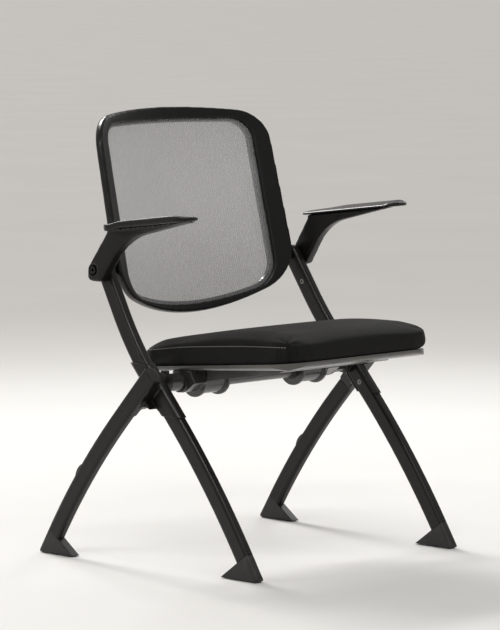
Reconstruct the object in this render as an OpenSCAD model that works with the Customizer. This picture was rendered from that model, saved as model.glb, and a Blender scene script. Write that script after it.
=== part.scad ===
// Nesting chair with a flip-up seat, cantilever arms and a sprung mesh back.
// Front faces -Y, +Z is up, +X is the sitter's left. The origin is on the floor,
// under the middle of the chair's bounding box.

/* [Stance] */
// Height of the hub centre, where legs and cross tube meet
hub_z = 345; // [320:1:370]
// How far the hub centre stands behind the origin
hub_y = 4; // [-10:1:20]
// Gap from the seat's side to the middle of the front leg
leg_gap = 65; // [60:1:75]
// Gap from the middle of the front leg to the middle of the rear leg, side by side
rear_gap = 35; // [34:1:45]
// Height of the back pivot above the hub
upright_rise = 208; // [195:1:225]
// Inward lean of each upright above its hub, in degrees
lean_in = 3.6; // [3:0.1:4.5]

/* [Legs] */
// Depth of the flat-sided tube, seen from the side
tube_d = 34; // [30:1:38]
// Width of the flat-sided tube, seen from the front
tube_w = 21; // [18:1:24]
// Corner radius of the flat-sided tube
tube_r = 7; // [5:0.5:9]
// Wall of the flat-sided tube
tube_wall = 2; // [1.5:0.25:3]
// Lean of the side tube where it crosses the hub, in degrees
leg_lean_top = 41.5; // [38:0.5:43]
// Lean of the front leg at its foot, in degrees
leg_lean_foot = 32; // [29:0.5:34]
// Straight length of side tube below the hub centre
hub_run_down = 76; // [65:1:90]
// Lean of the upright at the back pivot, in degrees
upright_lean_top = 31; // [28:0.5:34]
// Bend radius of the upright
upright_bend = 680; // [600:10:800]
// Straight length of front leg above the hub centre, where the upright meets it
hub_run_up = 42; // [38:1:46]
// Lean of the rear leg where it leaves the hub, in degrees
rear_lean_top = 43; // [40:0.5:46]
// Lean of the rear leg at its foot, in degrees
rear_lean_foot = 31.5; // [28:0.5:34]
// Straight length of rear leg below the hub centre
rear_straight = 86; // [75:1:95]
// How far the rear leg's line passes ahead of the hub centre
rear_ahead = 5; // [2:0.5:8]

/* [Hub] */
// Wall of the hub sleeve around the side tube
sleeve_wall = 3; // [2.5:0.25:4]
// Height of the sleeve's collar above the hub centre
collar_rise = 38; // [30:1:44]
// Drop of the sleeve's lower step below the hub centre
step_drop = 57; // [50:1:62]
// Length of the rear branch above the hub centre
branch_up = 36; // [30:1:42]
// Length of the rear branch below the hub centre
branch_down = 63; // [56:1:68]
// Length over which the branch narrows to the leg's width
branch_neck = 38; // [30:1:46]
// Height of the branch's outer face over the rear leg
branch_over = 0.5; // [0.5:0.25:4]
// Distance from the front leg's middle to the branch's inner edge at its end face
branch_gap = 18; // [15:0.5:22]
// Length of the spigot that the rear leg slides on
spigot_len = 20; // [12:1:22]
// Radius of the curved web between the legs
web_r = 24; // [18:1:32]
// Thickness of the curved web between the legs
web_t = 20; // [12:1:22]
// Radius of the boss that holds the cross tube
boss_r = 21; // [20:0.5:23]
// Length of the boss that holds the cross tube
boss_len = 11; // [8:1:14]
// Distance from the hub centre to the clamp screw, along the leg
hub_screw_run = 50; // [44:1:60]

/* [Feet] */
// Slope of the seam that runs on as the toe's top face, in degrees
seam_slope = 36; // [32:1:42]
// Height of the seam's middle above the floor
seam_z = 41; // [36:1:50]
// Radius of the rounded heel
heel_r = 5.5; // [4:0.5:8]
// Length of the plug that fits into the leg
plug_len = 26; // [18:1:30]
// Clearance of the foot's body above the floor
glide_drop = 1.6; // [1:0.1:3]
// Full thickness of the glide pad
glide_t = 4; // [3.25:0.25:5]
// Length of each glide pad
glide_len = 44; // [34:1:48]
// Width of each glide pad
glide_w = 15; // [11:0.5:16]
// Height of the rear leg's centre line at the nesting bumper
bumper_z = 159; // [130:1:210]
// Length of the nesting bumper
bumper_len = 34; // [24:1:44]
// Width of the nesting bumper
bumper_w = 7; // [5:0.5:7]
// How far the nesting bumper stands proud of the leg
bumper_proud = 6; // [4:0.5:8]

/* [Cross tube and hinge] */
// Radius of the round cross tube
cross_r = 17; // [15:0.5:18]
// Wall of the cross tube
cross_wall = 2.5; // [2:0.25:3.5]
// Wall of the plastic hinge bush
bush_wall = 1.5; // [1.25:0.25:2]
// Distance of each hinge saddle's outer end from the seat's side
saddle_edge = 4; // [2:1:10]
// Length of each hinge saddle along the cross tube
saddle_len = 101; // [90:1:112]
// Length of the slim barrel at the saddle's outer end
barrel_len = 32; // [26:1:40]
// Wall of the slim barrel
barrel_wall = 3; // [2.5:0.25:4]
// Forward reach of the barrel's pointed end
nose_reach = 36; // [32:1:42]
// Radius of the saddle's two round flanges
flange_r = 33; // [31:0.5:36]
// Thickness of the saddle's two round flanges
flange_t = 7; // [5:0.5:10]
// Radius of the saddle's waist between its flanges
waist_r = 28; // [25:0.5:30]
// Width of the ring at the outer end of the bush
ring_w = 7; // [5:0.5:9]
// Width of the stop block beside the hub
stop_w = 9; // [6:0.5:12]
// Height of the stop block above the tube's centre
stop_h = 24; // [21:0.5:26]
// Depth of the stop block, front to back
stop_d = 16; // [12:1:20]

/* [Seat] */
// Width of the cushion
seat_w = 412; // [380:2:440]
// Cushion edge ahead of the hinge
seat_front = 288; // [260:1:300]
// Cushion edge behind the hinge
seat_rear = 132; // [110:1:140]
// Corner radius of the cushion, seen from above
seat_corner = 57; // [45:1:80]
// Backward tilt of the seat, in degrees
seat_tilt = 5; // [3:0.5:7]
// Height of the cushion's underside above the hinge
seat_lift = 29.6; // [28:0.2:34]
// Height of the cushion's side panel, midway along the side
side_h = 38; // [30:1:44]
// Height of the cushion's crown above its seam
crown_h = 25; // [18:1:30]
// Drop of the seam towards the front edge
front_drop = 10; // [4:1:14]
// Drop of the seam towards the rear edge
rear_drop = 8; // [4:1:12]
// How far the cushion's side panel is drawn in
side_draw = 1.5; // [0:0.25:3]
// Depth of the seat shell's rim at the rear
rim_rear = 9; // [8:0.5:11]
// Depth of the seat shell's rim at the front
rim_front = 13; // [11:0.5:15]
// Wall of the seat shell
shell_wall = 3; // [2:0.25:4]
// How far the seat shell's edge stands in from the cushion's
tray_inset = 2; // [0:0.5:6]
// Thickness of the shell's lip at its very edge
lip_t = 4; // [2.5:0.25:6]
// Distance over which the shell's underside curves up to its lip
edge_in = 30; // [16:1:36]
// Distance of the fairing's side from the waist's outer end
belly_edge = 5; // [2:1:25]
// Reach of the fairing ahead of the hinge
belly_front = 232; // [190:1:245]
// Corner radius of the fairing, seen from below
belly_corner = 60; // [40:1:80]
// Level of the fairing's lower edge, below the hinge axis
belly_low = 5; // [2:0.5:10]
// Slope of the fairing's lower edge, in degrees
belly_slope = 4; // [2:0.25:6]

/* [Arms] */
// Thickness of the arm support, seen from the front
arm_t = 24; // [20:1:28]
// Inward lean of the arm support, in degrees
arm_tilt = 4.2; // [3:0.1:5]
// Gap between the arm support and the pivot head's line
arm_gap = 1.2; // [1:0.1:2]
// Distance from the pivot down to the arm's lower end
arm_heel = 24; // [20:0.5:27]
// Distance from the pivot to the arm's rear edge
arm_back = 14; // [13:0.5:17]
// Distance from the pivot to the line of the arm's rear edge
arm_rear = 12.8; // [12:0.2:15]
// Rounding of the arm's lower rear corner
arm_round = 12; // [8:0.5:13]
// Forward lean of the arm's lower bar, in degrees
arm_lean = 34.5; // [30:0.5:38]
// Depth of the arm's lower bar
arm_depth = 44; // [38:0.5:48]
// Height of the pad's underside above the pivot, measured at the pivot
pad_rise = 74.6; // [68:0.2:82]
// Upward slope of the arm pad towards the front, in degrees
pad_slope = 6.8; // [5:0.1:9]
// Slope of the arm's underside to the floor, in degrees
under_slope = 13.6; // [12:0.1:15]
// Height of the arm's underside line, measured at the pivot
under_rise = 41; // [36:0.5:46]
// Blend radius inside the arm's bend
arm_bend = 125; // [90:5:150]
// Blend radius where the arm's rear edge meets its pad
nape_r = 4.5; // [3:0.5:5]
// Reach of the arm pad ahead of the pivot
pad_front = 279; // [250:1:300]
// Start of the arm pad ahead of the pivot
pad_start = 29; // [22:1:30]
// Width of the arm pad
pad_w = 55; // [48:1:64]
// Distance of the arm pad's inner edge from the front leg's middle
pad_edge = 9; // [4:0.5:15]
// Thickness of the arm pad
pad_t = 10; // [7:0.5:13]
// Corner radius at the front of the arm pad
pad_tip_r = 26; // [14:1:27]
// Corner radius at the rear of the arm pad
pad_rear_r = 9; // [5:1:16]
// Radius of the hollow under the pad's overhang
cove_r = 15; // [10:1:20]

/* [Back] */
// Plan radius of the curved back
back_r = 502; // [460:2:560]
// How far the middle of the back stands behind the pivot
back_behind = 40; // [34:1:46]
// Backward lean of the back, in degrees
back_lean = 12.7; // [10:0.1:15]
// Half width of the back frame at its bottom, over the seat's
back_wider = 40; // [34:1:42]
// Narrowing of the back frame's side from bottom to top
back_taper = 16; // [8:1:30]
// Height of the back frame above the pivot
back_up = 306; // [280:1:330]
// Depth of the back frame below the pivot
back_down = 103; // [90:1:115]
// Corner radius of the back frame at its top
back_top_r = 71; // [55:1:85]
// Corner radius of the back frame at its bottom
back_low_r = 88; // [70:1:100]
// Rise of the top edge's crown
back_top_crown = 28; // [15:1:35]
// Rise of the bottom edge's crown
back_low_crown = 56; // [35:1:60]
// Width of the side rims at the top
rim_top_w = 33; // [28:1:40]
// Width of the side rims at the bottom
rim_low_w = 43; // [38:1:50]
// Height of the opening above the pivot
open_up = 280; // [255:1:300]
// Depth of the opening below the pivot
open_down = 85; // [75:1:98]
// Corner radius of the opening at its top
open_top_r = 45; // [35:1:60]
// Corner radius of the opening at its bottom
open_low_r = 57; // [45:1:70]
// Rise of the opening's top crown
open_top_crown = 12; // [8:1:20]
// Rise of the opening's bottom crown
open_low_crown = 27; // [18:1:35]
// Full depth of the back frame
back_t = 18; // [16:0.5:22]
// Thickness of the back frame's front face
face_t = 7; // [5:0.5:8]
// Thickness of the stretched mesh
mesh_t = 0.8; // [0.6:0.1:1.2]
// Thickness of the mesh carrier
carrier_t = 6; // [4:0.5:7]
// How far the carrier reaches outside the opening
carrier_lap = 7; // [5:0.5:8]
// How far the carrier shows inside the opening
carrier_show = 5; // [2:0.5:8]
// Radius of the pivot lug behind each side rim
lug_r = 15; // [13:0.5:17]
// Distance of the pivot lug's outer end from the front leg's middle
lug_gap = 29; // [28:0.5:31]
// Length of the pivot lug
lug_len = 25; // [20:1:28]

/* [Fasteners] */
// Radius of the pivot bolt's shank
bolt_r = 6; // [5:0.5:7]
// Radius of the pivot bolt's head
bolt_head_r = 7.6; // [7:0.2:9]
// Radius of the recess around the pivot bolt's head
recess_r = 10.5; // [9.5:0.5:12]
// Depth of the recess around the pivot bolt's head
recess_d = 6; // [5:0.5:8]
// Height of the pivot bolt's head
bolt_head_h = 5; // [4:0.5:5.5]
// Wall of the pivot bush
pivot_bush_wall = 2; // [1.5:0.25:2.5]
// Radius of the small screws' heads
screw_head_r = 5; // [4.5:0.25:5]
// Radius of the small screws' shanks
screw_r = 3; // [3:0.25:3.5]
// Length of the clamp screws in the hub
hub_screw_len = 23; // [22:0.5:23.5]
// Length of the screws in the pivot heads
head_screw_len = 16; // [13:1:18]
// Length of the screws under the arm pads
pad_screw_len = 9; // [7:0.5:10]
// Radius of the shanks of the screws under the arm pads
pad_screw_r = 2; // [1.75:0.25:2.5]
// Radius of the heads of the screws under the arm pads
pad_screw_head_r = 4; // [3:0.25:4]
// Reach of the arm pad's screw ahead of the pivot
pad_screw_run = 240; // [225:1:245]
// Width across the flats of the socket in the small screws
small_socket = 4; // [3:0.5:4]
// Width across the flats of the socket in the pad screws
pad_socket = 2.5; // [2:0.25:3]
// Width across the flats of the socket in the pivot bolts
big_socket = 6; // [5:0.5:8]

/* [Hidden] */
// Running clearance of shafts in their bushes
run = 0.05;
// Gap between pieces that are seated on each other
seat_gap = 0.1;
// Clear gap between a moving piece and its neighbour
clear = 1.5;
// Gap that keeps soft pieces off their neighbours
soft_gap = 0.4;
// Overrun of every cut
over = 1;
// Length that reaches across the whole chair
reach = 700;
smooth = 96;
sweep_smooth = 8 * smooth;
// Angle by which a bend runs on past its cut
bend_over = 2;

// Places from the middle to the sides, which all follow the seat's width
leg_x = seat_w / 2 + leg_gap;
rear_x = leg_x + rear_gap;
branch_out = rear_x + tube_w / 2 + branch_over;
branch_in = leg_x + branch_gap;
saddle_out = seat_w / 2 - saddle_edge;
saddle_in = saddle_out - saddle_len;
belly_w = saddle_out - barrel_len - belly_edge;
pad_in = leg_x - pad_edge;
back_low_w = seat_w / 2 + back_wider;
back_top_w = back_low_w - back_taper;
open_low_w = back_low_w - rim_low_w;
open_top_w = back_top_w - rim_top_w;
lug_out = leg_x - lug_gap;
lug_in = lug_out - lug_len;

// Upright: from the top of the front leg it bends, leaning in, then runs straight
up_arc = leg_lean_top - upright_lean_top;
up_sag = upright_bend * (1 - cos(up_arc));
up_curve = upright_bend * sin(up_arc);
up_rest = upright_rise - up_sag * sin(leg_lean_top)
    - (hub_run_up + up_curve * cos(lean_in)) * cos(leg_lean_top);
up_share = sin(up_arc) * sin(leg_lean_top) + cos(up_arc) * cos(lean_in) * cos(leg_lean_top);
up_straight = up_rest / up_share;
up_flat = -up_sag - up_straight * sin(up_arc);
up_run = up_curve + up_straight * cos(up_arc);
up_high = hub_run_up + up_run * cos(lean_in);
pivot_x = leg_x - up_run * sin(lean_in);
pivot_y = hub_y + up_flat * cos(leg_lean_top) + up_high * sin(leg_lean_top);
pivot_z = hub_z + upright_rise;

// Front leg: its bend ends at the middle of the foot's seam
leg_arc = leg_lean_top - leg_lean_foot;
leg_fall = hub_z - hub_run_down * cos(leg_lean_top) - seam_z;
leg_bend = leg_fall / (sin(leg_lean_top) - sin(leg_lean_foot));
leg_end_y = hub_y - hub_run_down * sin(leg_lean_top)
    - leg_bend * (cos(leg_lean_foot) - cos(leg_lean_top));

// Rear leg, in the same way
rear_arc = rear_lean_top - rear_lean_foot;
rear_start_y = hub_y - rear_ahead * cos(rear_lean_top);
rear_start_z = hub_z - rear_ahead * sin(rear_lean_top);
rear_fall = rear_start_z - rear_straight * cos(rear_lean_top) - seam_z;
rear_bend = rear_fall / (sin(rear_lean_top) - sin(rear_lean_foot));
rear_end_y = rear_start_y + rear_straight * sin(rear_lean_top)
    + rear_bend * (cos(rear_lean_foot) - cos(rear_lean_top));
bumper_lean = asin(sin(rear_lean_foot) + (bumper_z - seam_z) / rear_bend);
bumper_y = rear_end_y - rear_bend * (cos(rear_lean_foot) - cos(bumper_lean));

// Crotch between the inner edges of the legs, seen from the hub centre
legs_angle = leg_lean_top + rear_lean_top;
rear_edge = tube_d / 2 + rear_ahead;
crotch_y = (tube_d / 2 * sin(rear_lean_top) - rear_edge * sin(leg_lean_top)) / sin(legs_angle);
crotch_z = -(tube_d / 2 * cos(rear_lean_top) + rear_edge * cos(leg_lean_top)) / sin(legs_angle);

// Pivot head, whose round end continues the tube
head_share = 0.47;
tang_share = 2.1;
screw_share = 1.85;
head_drop = tube_d * head_share;
tang_len = tube_d * tang_share;
head_screw_drop = tube_d * screw_share;

// Hinge
cross_reach = leg_x - tube_w / 2 - seat_gap;
boss_face = leg_x - tube_w / 2 - boss_len;
bush_r = cross_r + run + bush_wall;
bore_r = bush_r + seat_gap;
barrel_r = bore_r + barrel_wall;
waist_out = saddle_out - barrel_len;
shell_low = seat_lift - rim_rear;
saddle_top = shell_low - seat_gap;

// Seat, in its own tilted frame
seat_mid_y = (seat_rear - seat_front) / 2;
pocket_inset = tray_inset + shell_wall + edge_in / 2;
edge_steps = 6;
shell_top = seat_lift - soft_gap;
board_low = shell_low + shell_wall + seat_gap;
board_high = shell_top - seat_gap;
rim_angle = atan((rim_front - rim_rear) / (seat_front - flange_r));
crest_share = 0.2;
crest_y = -crest_share * seat_front;

// Arm, in its own leaning frame at the pivot
arm_face = tube_w / 2 + arm_gap;
front_off = arm_rear - arm_depth;
arm_end_y = pad_tip_r - pad_front;
bend_z = (under_rise - front_off / cos(arm_lean) * tan(under_slope))
    / (1 - tan(arm_lean) * tan(under_slope));
nape_z = (pad_rise - arm_rear / cos(arm_lean) * tan(pad_slope))
    / (1 - tan(arm_lean) * tan(pad_slope));
bolt_seat = pivot_x + arm_face + arm_t - recess_d;
cove_x = pad_in + arm_t - 2 * tube_wall;

// Back, in its own leaning frame, whose pivot lies a little ahead and below
lug_y = -back_behind * cos(back_lean);
lug_z = -back_behind * sin(back_lean);
outer_low = [back_low_w, -back_down, back_low_r, back_low_crown];
outer_top = [back_top_w, back_up, back_top_r, back_top_crown];
open_low = [open_low_w, -open_down, open_low_r, open_low_crown];
open_top = [open_top_w, open_up, open_top_r, open_top_crown];
mesh_front = back_r + face_t + seat_gap;
carrier_front = mesh_front + mesh_t + seat_gap;
pivot_bush_r = bolt_r + run + pivot_bush_wall;
bush_flange_r = (pivot_bush_r + lug_r) / 2;

// Shared shapes

module right() {
    mirror([1, 0, 0]) children();
}

module both() {
    children();
    right() children();
}

module rounded(w, d, r) {
    square([w, d - 2 * r], center = true);
    square([w - 2 * r, d], center = true);
    for (x = [-1, 1], y = [-1, 1])
        translate([x * (w / 2 - r), y * (d / 2 - r)])
            circle(r, $fn = smooth);
}

module tube_section(grow = 0) {
    rounded(tube_w + 2 * grow, tube_d + 2 * grow, tube_r + grow);
}

// A rod along X
module rod(r, from, to) {
    translate([from, 0, 0])
        rotate([0, 90, 0])
            cylinder(r = r, h = to - from, $fn = smooth);
}

// Extrudes an outline drawn in Y and Z along X
module side_extrude(from, to) {
    translate([from, 0, 0])
        rotate([90, 0, 90])
            linear_extrude(to - from)
                children();
}

// Sweeps a section along +Z, straight at first and then on a bend towards +Y
module bent_run(straight, radius, bend) {
    linear_extrude(straight)
        children();
    translate([0, radius, straight])
        rotate([90, 0, -90])
            rotate_extrude(angle = bend, $fn = sweep_smooth)
                translate([radius, 0])
                    mirror([1, 1, 0])
                        children();
}

// Material that rounds an inside corner between two directions, sunk into it by a depth
module fillet(corner, d1, d2, r, sink = 0) {
    half = acos(d1 * d2) / 2;
    middle = (d1 + d2) / norm(d1 + d2);
    centre = corner + middle * r / sin(half);
    sunk = corner - sink * middle;
    difference() {
        polygon([sunk, sunk + d1 * r / tan(half), centre, sunk + d2 * r / tan(half)]);
        translate(centre)
            circle(r, $fn = smooth);
    }
}

// A countersunk screw that points along -Z, with its head flush at zero
module screw(head, shank, length, socket) {
    difference() {
        union() {
            translate([0, 0, -length])
                cylinder(r = shank, h = length, $fn = smooth);
            translate([0, 0, shank - head])
                cylinder(r1 = shank, r2 = head, h = head - shank, $fn = smooth);
        }
        translate([0, 0, -shank])
            cylinder(d = socket / cos(30), h = shank + over, $fn = 6);
    }
}

module screw_hole(head, shank, length) {
    translate([0, 0, -length - seat_gap])
        cylinder(r = shank + seat_gap, h = length, $fn = smooth);
    translate([0, 0, shank - head])
        cylinder(r1 = shank + seat_gap, r2 = head + seat_gap, h = head - shank, $fn = smooth);
    cylinder(r = head + seat_gap, h = arm_t, $fn = smooth);
}

// Frames of reference

module at_hub() {
    translate([leg_x, hub_y, hub_z]) children();
}

module at_pivot() {
    translate([pivot_x, pivot_y, pivot_z]) children();
}

module along_upright() {
    at_pivot()
        rotate([-leg_lean_top, 0, 0])
            rotate([0, -lean_in, 0])
                rotate([up_arc, 0, 0])
                    children();
}

module down_leg() {
    at_hub()
        rotate([180 - leg_lean_top, 0, 0])
            children();
}

module down_rear() {
    translate([rear_x, rear_start_y, rear_start_z])
        rotate([rear_lean_top - 180, 0, 0])
            children();
}

module in_seat() {
    translate([0, hub_y, hub_z])
        rotate([-seat_tilt, 0, 0])
            children();
}

module in_arm() {
    at_pivot()
        rotate([0, -arm_tilt, 0])
            children();
}

module in_pad() {
    translate([0, pivot_y, pivot_z])
        rotate([-pad_slope, 0, 0])
            translate([0, 0, pad_rise * cos(pad_slope)])
                children();
}

module in_back() {
    translate([0, pivot_y + back_behind, pivot_z])
        rotate([-back_lean, 0, 0])
            children();
}

// Runs of tube

module upright_run(short) {
    along_upright()
        rotate([180, 0, 0])
            translate([0, 0, short])
                bent_run(up_straight - short, upright_bend, up_arc + bend_over)
                    children();
}

module leg_run() {
    down_leg()
        translate([0, 0, -hub_run_up])
            mirror([0, 1, 0])
                bent_run(hub_run_up + hub_run_down, leg_bend, leg_arc + bend_over)
                    children();
}

module rear_run(start) {
    down_rear()
        translate([0, 0, start])
            bent_run(rear_straight - start, rear_bend, rear_arc + bend_over)
                children();
}

// Everything below the joint between upright and front leg
module below_joint() {
    down_leg()
        translate([-tube_d, -tube_d, -hub_run_up - seat_gap])
            cube([2 * tube_d, 2 * tube_d, reach]);
}

// Everything below the seam of a foot, for a leg that ends at the given place
module below_seam(x, y, slope) {
    translate([x, y, seam_z])
        rotate([slope, 0, 0])
            translate([-tube_d, -reach / 2, seat_gap - reach])
                cube([2 * tube_d, reach, reach]);
}

module hub_screw_place() {
    down_leg()
        translate([-tube_w / 2, 0, hub_screw_run])
            rotate([0, -90, 0])
                children();
}

module head_screw_place() {
    along_upright()
        translate([-tube_w / 2, 0, -head_screw_drop])
            rotate([0, -90, 0])
                children();
}

module upright() {
    difference() {
        upright_run(head_drop + seat_gap)
            tube_section();
        upright_run(head_drop - over)
            tube_section(-tube_wall);
        below_joint();
        head_screw_place()
            screw_hole(screw_head_r, screw_r, head_screw_len);
    }
}

module front_leg() {
    difference() {
        leg_run()
            tube_section();
        leg_run()
            tube_section(-tube_wall);
        below_seam(leg_x, leg_end_y, -seam_slope);
        hub_screw_place()
            screw_hole(screw_head_r, screw_r, hub_screw_len);
    }
}

module rear_leg() {
    difference() {
        rear_run(branch_down + seat_gap)
            tube_section();
        rear_run(branch_down + seat_gap)
            tube_section(-tube_wall);
        below_seam(rear_x, rear_end_y, seam_slope);
    }
}

// Hub: sleeve, outboard branch, web and boss

module hub_sleeve() {
    intersection() {
        down_leg()
            translate([0, 0, -reach / 2])
                linear_extrude(reach)
                    tube_section(sleeve_wall);
        translate([leg_x - reach / 2, -reach / 2, hub_z - step_drop])
            cube([reach, reach, step_drop + collar_rise]);
    }
}

module branch() {
    w = branch_out - branch_in;
    difference() {
        down_rear()
            translate([branch_out - w / 2 - rear_x, 0, -branch_up])
                linear_extrude(branch_up + branch_down)
                    rounded(w, tube_d, tube_r);
        down_rear()
            translate([-tube_w / 2, 0, branch_down])
                rotate([0, atan((w - tube_w) / branch_neck), 0])
                    translate([-reach, -tube_d, -reach / 2])
                        cube([reach, 2 * tube_d, reach]);
    }
    down_rear()
        translate([0, 0, branch_down - over])
            linear_extrude(spigot_len + over)
                tube_section(-tube_wall - seat_gap);
}

// Fills the diamond where branch and sleeve cross
module crossing() {
    w = branch_in + tube_r - leg_x;
    intersection() {
        at_hub()
            rotate([-leg_lean_top, 0, 0])
                translate([0, -tube_d / 2, -reach / 2])
                    cube([w, tube_d, reach]);
        down_rear()
            translate([leg_x - rear_x, -tube_d / 2, -branch_up])
                cube([w, tube_d, branch_up + branch_down]);
    }
}

module web() {
    side_extrude(leg_x + tube_w / 2, leg_x + tube_w / 2 + web_t)
        translate([hub_y + crotch_y, hub_z + crotch_z])
            fillet([0, 0], [-sin(leg_lean_top), -cos(leg_lean_top)],
                [sin(rear_lean_top), -cos(rear_lean_top)], web_r);
}

module open_side() {
    translate([-tube_w / 2 - tube_d, -tube_d])
        square([tube_d, 2 * tube_d]);
}

module hub_casting() {
    difference() {
        union() {
            hub_sleeve();
            branch();
            crossing();
            web();
            at_hub()
                rod(boss_r, -tube_w / 2 - boss_len, -tube_w / 2 + sleeve_wall);
        }
        upright_run(head_drop)
            tube_section(seat_gap);
        down_leg()
            translate([0, 0, -hub_run_up - over])
                linear_extrude(hub_run_up + reach / 2)
                    tube_section(seat_gap);
        // The sleeve is open on its inner side, apart from the boss
        difference() {
            down_leg()
                translate([0, 0, -reach / 2])
                    linear_extrude(reach)
                        open_side();
            at_hub()
                rod(boss_r, -tube_d, tube_d);
        }
        at_hub()
            rod(cross_r + seat_gap, -tube_d, 0);
        hub_screw_place()
            screw_hole(screw_head_r, screw_r, hub_screw_len);
    }
}

module cross_tube() {
    color("dimgray")
        translate([0, hub_y, hub_z])
            difference() {
                rod(cross_r, -cross_reach, cross_reach);
                rod(cross_r - cross_wall, -cross_reach - over, cross_reach + over);
            }
}

module stop_blocks() {
    outer = boss_face - seat_gap;
    color("silver")
        both()
            translate([0, hub_y, hub_z])
                difference() {
                    union() {
                        rod(cross_r + bush_wall, outer - stop_w, outer);
                        translate([outer - stop_w, -stop_d / 2, 0])
                            cube([stop_w, stop_d, stop_h]);
                    }
                    rod(cross_r + seat_gap, saddle_out, leg_x);
                }
}

// Feet, drawn for a heel at +Y and a toe towards -Y

function corner_y(y, lean) = y + tube_d / 2 / cos(lean) + (seam_z - glide_drop) * tan(lean);
function heel_y(y, lean) = corner_y(y, lean) - heel_r / tan(45 - lean / 2);

module foot_outline(y, lean) {
    seam = [cos(seam_slope), sin(seam_slope)];
    top = [y, seam_z] + seam * tube_d / 2 / cos(seam_slope - lean);
    toe = [y, seam_z] - seam * (seam_z - glide_drop) / sin(seam_slope);
    heel = [heel_y(y, lean), glide_drop + heel_r];
    touch = heel + heel_r * [cos(lean), sin(lean)];
    polygon([top, touch, heel, [heel_y(y, lean), glide_drop], toe]);
    translate(heel)
        circle(heel_r, $fn = smooth);
}

module foot(x, y, lean) {
    difference() {
        union() {
            intersection() {
                side_extrude(x - tube_w / 2, x + tube_w / 2)
                    foot_outline(y, lean);
                union() {
                    translate([x, y, seam_z])
                        rotate([lean - 180, 0, 0])
                            translate([0, 0, -tube_d])
                                linear_extrude(3 * tube_d)
                                    tube_section();
                    translate([x, y, seam_z])
                        rotate([lean, 0, 0])
                            translate([-tube_w / 2, -3 * tube_d, -3 * tube_d])
                                cube([tube_w, 3 * tube_d, 4 * tube_d]);
                }
            }
            translate([x, y, seam_z])
                rotate([lean, 0, 0])
                    translate([0, 0, -tube_d / 2])
                        linear_extrude(plug_len + tube_d / 2)
                            tube_section(-tube_wall - soft_gap);
        }
        glide_block(x, y, lean, seat_gap);
    }
}

module glide_block(x, y, lean, grow) {
    translate([x - glide_w / 2 - grow, heel_y(y, lean) - glide_len - grow, -grow])
        cube([glide_w + 2 * grow, glide_len + 2 * grow, glide_t + 2 * grow]);
}

module front_foot() {
    mirror([0, 1, 0])
        foot(leg_x, -leg_end_y, leg_lean_foot);
}

module rear_foot() {
    foot(rear_x, rear_end_y, rear_lean_foot);
}

module foot_glides() {
    color("darkslategray")
        both() {
            mirror([0, 1, 0])
                glide_block(leg_x, -leg_end_y, leg_lean_foot, 0);
            glide_block(rear_x, rear_end_y, rear_lean_foot, 0);
        }
}

module nesting_bumpers() {
    color("darkslategray")
        both()
            translate([rear_x, bumper_y, bumper_z])
                rotate([bumper_lean, 0, 0])
                    side_extrude(-bumper_w / 2, bumper_w / 2)
                        intersection() {
                            translate([tube_d / 2 + seat_gap * 2, -bumper_len / 2])
                                square([bumper_proud, bumper_len]);
                            translate([tube_d / 2 + bumper_proud - bumper_len, 0])
                                circle(bumper_len, $fn = smooth);
                        }
}

module hub_screws() {
    color("silver")
        both()
            hub_screw_place()
                screw(screw_head_r, screw_r, hub_screw_len, small_socket);
}

// Pivot heads and arms

module pivot_head() {
    difference() {
        union() {
            along_upright()
                rotate([0, 90, 0])
                    rotate([0, 0, 90])
                        rotate_extrude(angle = 180, $fn = smooth)
                            intersection() {
                                rounded(tube_d, tube_w, tube_r);
                                translate([0, -tube_w / 2])
                                    square([tube_d, tube_w]);
                            }
            along_upright()
                translate([0, 0, -head_drop])
                    linear_extrude(head_drop)
                        tube_section();
            along_upright()
                translate([0, 0, -head_drop - tang_len])
                    linear_extrude(tang_len + over)
                        tube_section(-tube_wall - seat_gap);
        }
        at_pivot()
            rod(bolt_r + seat_gap, -tube_w, tube_w);
        head_screw_place()
            screw_hole(screw_head_r, screw_r, head_screw_len);
    }
}

module head_screws() {
    color("silver")
        both()
            head_screw_place()
                screw(screw_head_r, screw_r, head_screw_len, small_socket);
}

function front_y(z) = (front_off - z * sin(arm_lean)) / cos(arm_lean);
function rear_y(z) = (arm_rear - z * sin(arm_lean)) / cos(arm_lean);

module arm_outline() {
    back_z = (arm_rear - arm_back * cos(arm_lean)) / sin(arm_lean);
    bend = [front_y(bend_z), bend_z];
    nape = [rear_y(nape_z), nape_z];
    tip_under = [arm_end_y, under_rise - arm_end_y * tan(under_slope)];
    tip_top = [arm_end_y, pad_rise - arm_end_y * tan(pad_slope)];
    lift = [0, tube_wall];
    polygon([
        [front_y(-arm_heel), -arm_heel], [arm_back - arm_round, -arm_heel],
        [arm_back, arm_round - arm_heel], [arm_back, back_z],
        nape, nape + lift, tip_top + lift, tip_under, bend
    ]);
    translate([arm_back - arm_round, arm_round - arm_heel])
        circle(arm_round, $fn = smooth);
    fillet(bend, [sin(arm_lean), -cos(arm_lean)], [-cos(under_slope), sin(under_slope)], arm_bend, over);
    fillet(nape, [sin(arm_lean), -cos(arm_lean)], [cos(pad_slope), -sin(pad_slope)], nape_r);
}

module pad_screw_place() {
    x = pad_in + arm_t / 2;
    in_arm()
        translate([0, -pad_screw_run, under_rise + pad_screw_run * tan(under_slope)])
            rotate([180 - under_slope, 0, 0])
                translate([(x - pivot_x), 0, 0])
                    children();
}

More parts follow.
